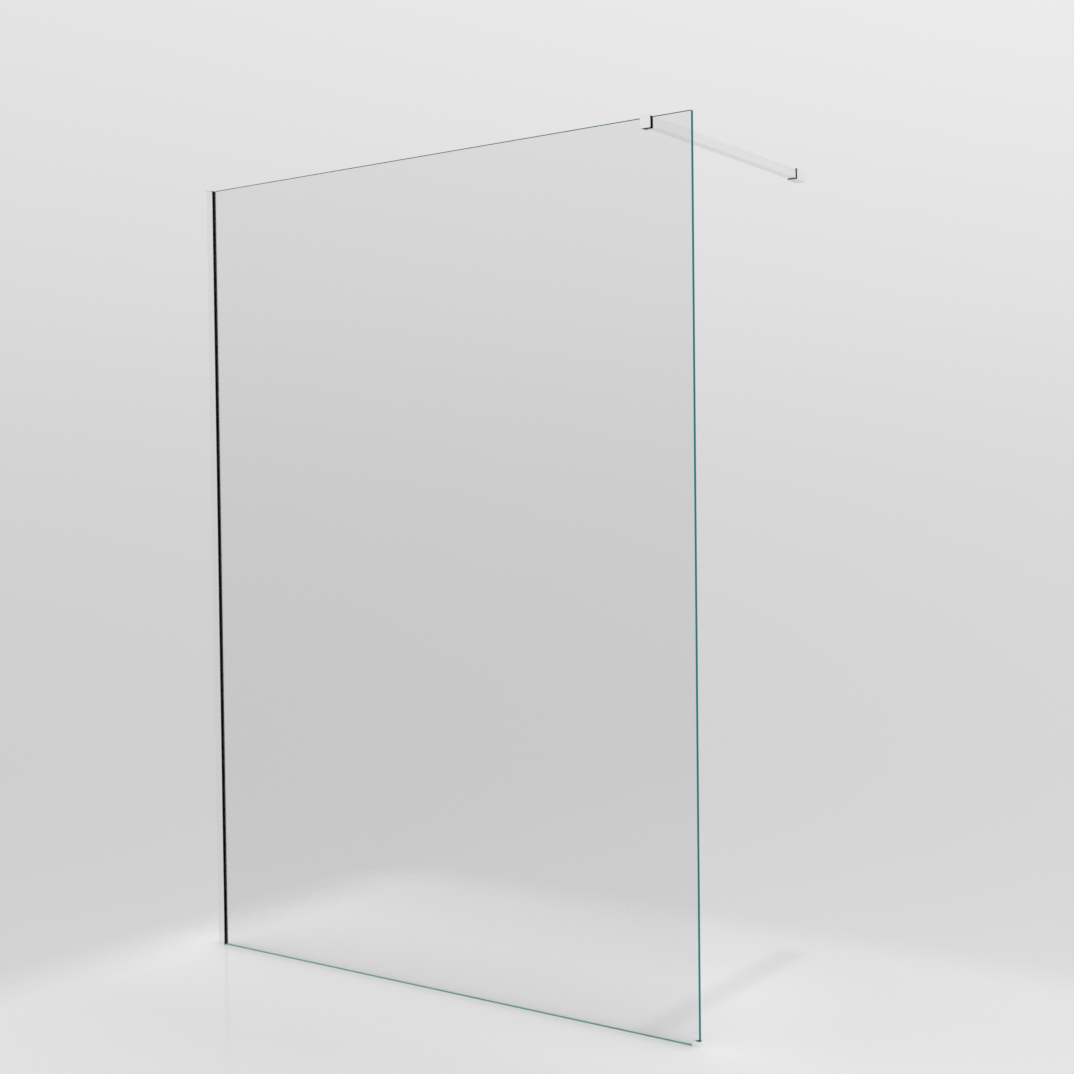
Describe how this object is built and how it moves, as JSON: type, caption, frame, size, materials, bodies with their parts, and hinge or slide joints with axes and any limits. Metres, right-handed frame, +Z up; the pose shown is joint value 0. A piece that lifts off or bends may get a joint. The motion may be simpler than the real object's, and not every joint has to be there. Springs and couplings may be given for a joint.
{
  "type": "walk-in shower screen",
  "caption": "Fixed clear glass shower screen held by a slim wall channel, a floor shoe and a square support bar that reaches from a top-edge clamp to the rear wall.",
  "frame": {"origin": "on the left wall's plane at the foot of the channel's back face, at floor level and at the middle of the glass thickness", "axes": "+X along the glass to its free edge, +Y towards the rear wall that the bar reaches, +Z up"},
  "size_m": [1.4635, 0.7645, 2.0065],
  "materials": {
    "polished_aluminium": "bright anodised extrusion",
    "black_epdm": "matt black extruded rubber",
    "grey_abs": "moulded, fine texture",
    "toughened_glass": "clear float glass with ground edges",
    "clear_pvc": "clear extruded PVC",
    "chromed_zinc": "bright chrome plating",
    "stainless_steel": "turned and tumbled",
    "polished_steel_tube": "satin-polished tube",
    "black_nylon": "moulded, fine texture",
    "zinc_casting": "as cast, tumbled"
  },
  "bodies": {
    "channel": {"wall_channel": "polished_aluminium", "channel_seal_front": "black_epdm", "channel_seal_rear": "black_epdm", "channel_top_cap": "grey_abs", "setting_block": "black_epdm"},
    "pane": {"glass_pane": "toughened_glass", "floor_seal_strip": "clear_pvc", "floor_shoe": "chromed_zinc", "shoe_liner": "black_epdm"},
    "clamp": {"clamp_body": "chromed_zinc", "clamp_pad_front": "black_epdm", "clamp_pad_rear": "black_epdm", "clamp_pressure_plate": "stainless_steel", "clamp_set_screws": "stainless_steel", "support_bar": "polished_steel_tube", "bar_fixing_screw": "stainless_steel"},
    "socket": {"wall_socket": "chromed_zinc", "socket_bush": "black_nylon", "wall_plate": "zinc_casting", "socket_set_screws": "stainless_steel"}
  },
  "joints": [
    {"name": "pane_slide", "type": "slide", "parent": "channel", "child": "pane", "axis": [1, 0, 0], "range_m": [-0.005, 0.005]},
    {"name": "clamp_slide", "type": "slide", "parent": "pane", "child": "clamp", "axis": [1, 0, 0], "range_m": [-0.6, 0.09]},
    {"name": "socket_slide", "type": "slide", "parent": "clamp", "child": "socket", "axis": [0, 1, 0], "range_m": [-0.006, 0.014]}
  ]
}
